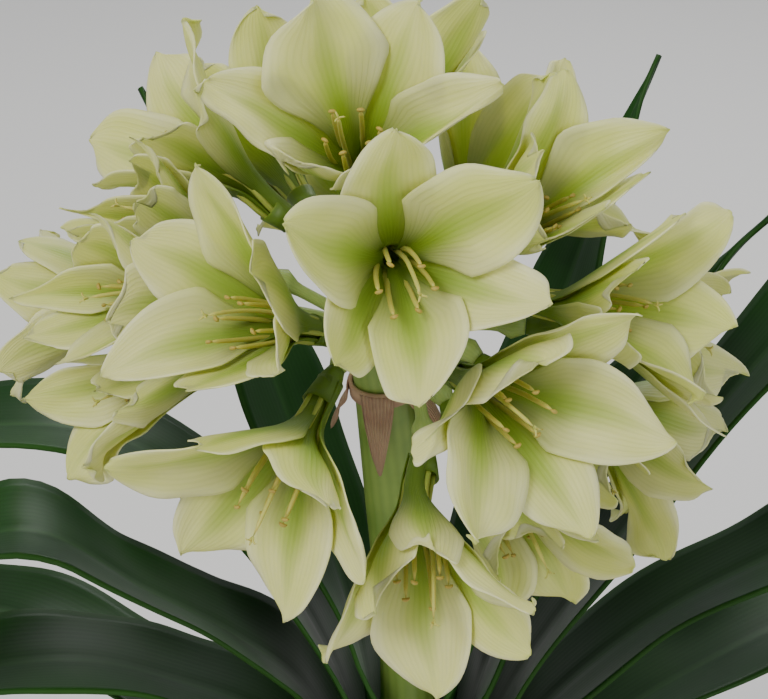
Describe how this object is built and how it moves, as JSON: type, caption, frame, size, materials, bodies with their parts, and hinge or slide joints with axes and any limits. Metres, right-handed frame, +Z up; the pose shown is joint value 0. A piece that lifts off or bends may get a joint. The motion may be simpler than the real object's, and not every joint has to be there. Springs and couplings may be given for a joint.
{
  "type": "potted clivia",
  "caption": "Flowering clivia in a plain clay pot: a round head of cream-green funnel blooms on a flat stalk above two ranks of arching strap leaves.",
  "frame": {"origin": "middle of the pot's flat base", "axes": "+Z up out of the pot, -Y towards the viewer of the flower head, +X to that viewer's right"},
  "size_m": [0.6522, 0.297, 0.5358],
  "materials": {
    "pot": "plain fired clay, matt",
    "soil": "loose bark soil, matt",
    "stalk": "smooth green plant stem",
    "spathe": "dry papery bract",
    "leaves": "glossy dark green leaf",
    "tepals": "soft cream-green petal, green down the middle"
  },
  "bodies": {
    "root": {"pot": "pot", "soil": "soil", "flower_stalk": "stalk", "spathe": "spathe", "leaf_right_0": "leaves", "leaf_right_1": "leaves", "leaf_right_2": "leaves", "leaf_right_3": "leaves", "leaf_right_4": "leaves", "leaf_left_0": "leaves", "leaf_left_1": "leaves", "leaf_left_2": "leaves", "leaf_left_3": "leaves", "leaf_left_4": "leaves", "bloom_A": "tepals", "bloom_D": "tepals", "bloom_B": "tepals", "bloom_C": "tepals", "bloom_G": "tepals", "bloom_E": "tepals", "bloom_M": "tepals", "bloom_H": "tepals", "bloom_N": "tepals", "bloom_I": "tepals", "bloom_O": "tepals", "bloom_L": "tepals", "bloom_F": "tepals", "bloom_P": "tepals", "bloom_K": "tepals", "bloom_J": "tepals", "bloom_R": "tepals", "bloom_W": "tepals", "bloom_Q": "tepals", "bloom_U": "tepals", "bloom_V": "tepals", "bloom_X": "tepals"}
  },
  "joints": []
}
